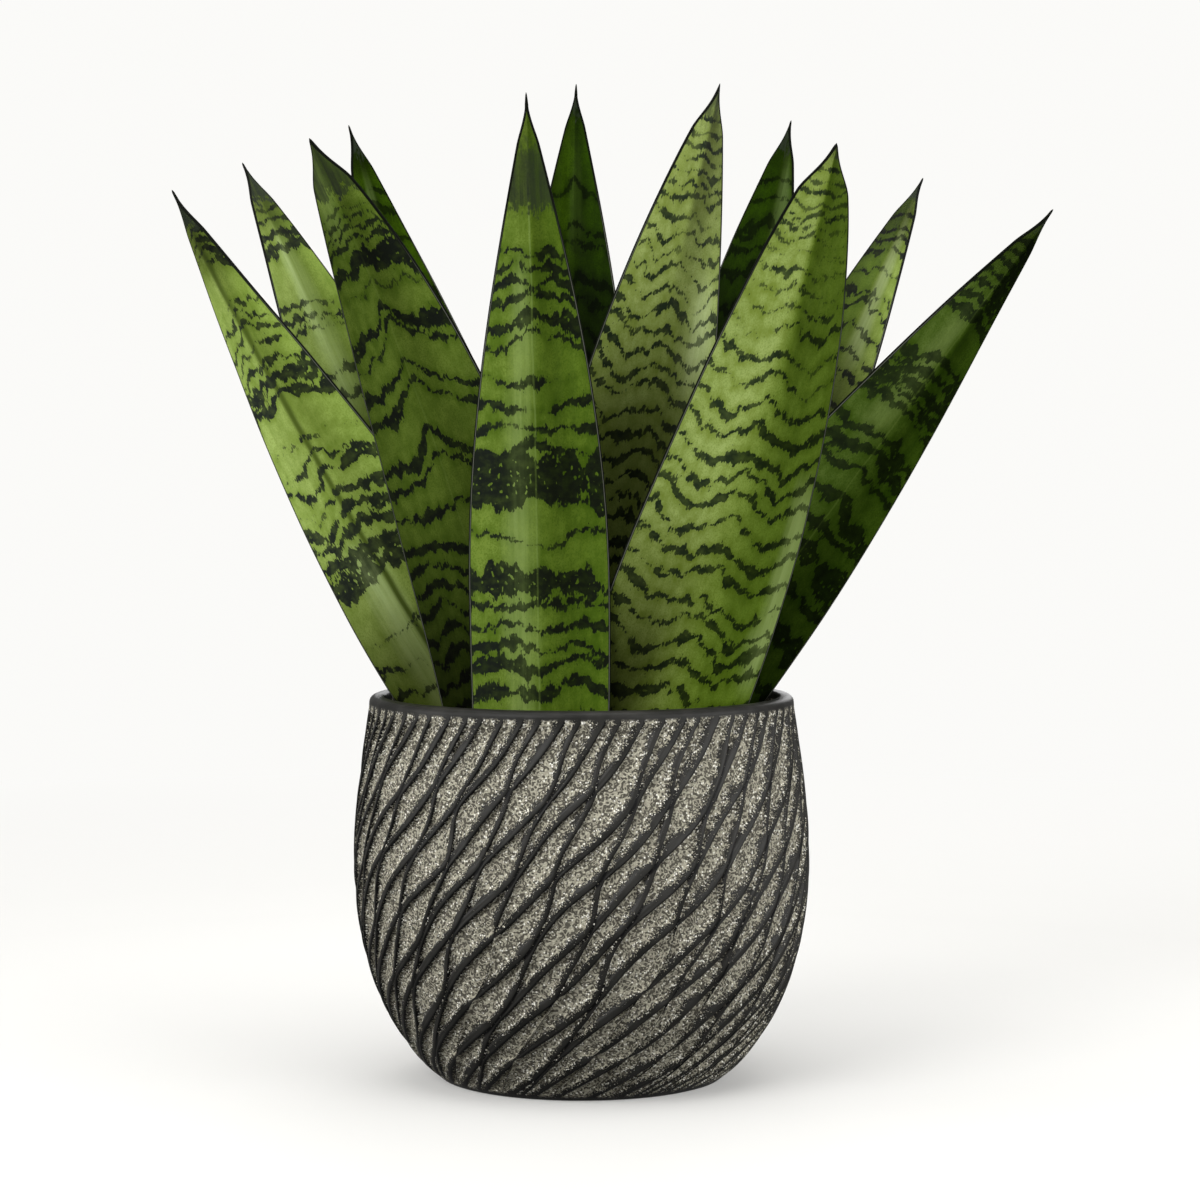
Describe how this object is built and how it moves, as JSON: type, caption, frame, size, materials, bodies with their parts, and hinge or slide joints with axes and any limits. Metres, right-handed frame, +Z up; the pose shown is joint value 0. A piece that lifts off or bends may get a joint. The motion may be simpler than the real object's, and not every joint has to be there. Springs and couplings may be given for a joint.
{
  "type": "potted ceylon bowstring hemp",
  "caption": "Upright clump of stiff sword-shaped leaves with dark wavy cross bands, in soil in a round bellied planter with slanting raised ridges over sandy cells.",
  "frame": {"origin": "centre of the planter's flat foot, on the surface it stands on", "axes": "+Z up along the planter's axis; -Y towards the front of the plant; +X to the right as seen from the front"},
  "size_m": [0.3855, 0.2216, 0.4462],
  "materials": {
    "planter": "satin",
    "soil": "matte",
    "leaf_pale": "satin",
    "leaf_mid": "satin",
    "leaf_fine": "satin",
    "leaf_dark": "satin"
  },
  "bodies": {
    "root": {"pot": "planter", "soil": "soil", "leaf_01": "leaf_pale", "leaf_02": "leaf_pale", "leaf_03": "leaf_mid", "leaf_04": "leaf_dark", "leaf_05": "leaf_mid", "leaf_06": "leaf_dark", "leaf_07": "leaf_fine", "leaf_08": "leaf_dark", "leaf_09": "leaf_fine", "leaf_10": "leaf_pale", "leaf_11": "leaf_dark"}
  },
  "joints": []
}
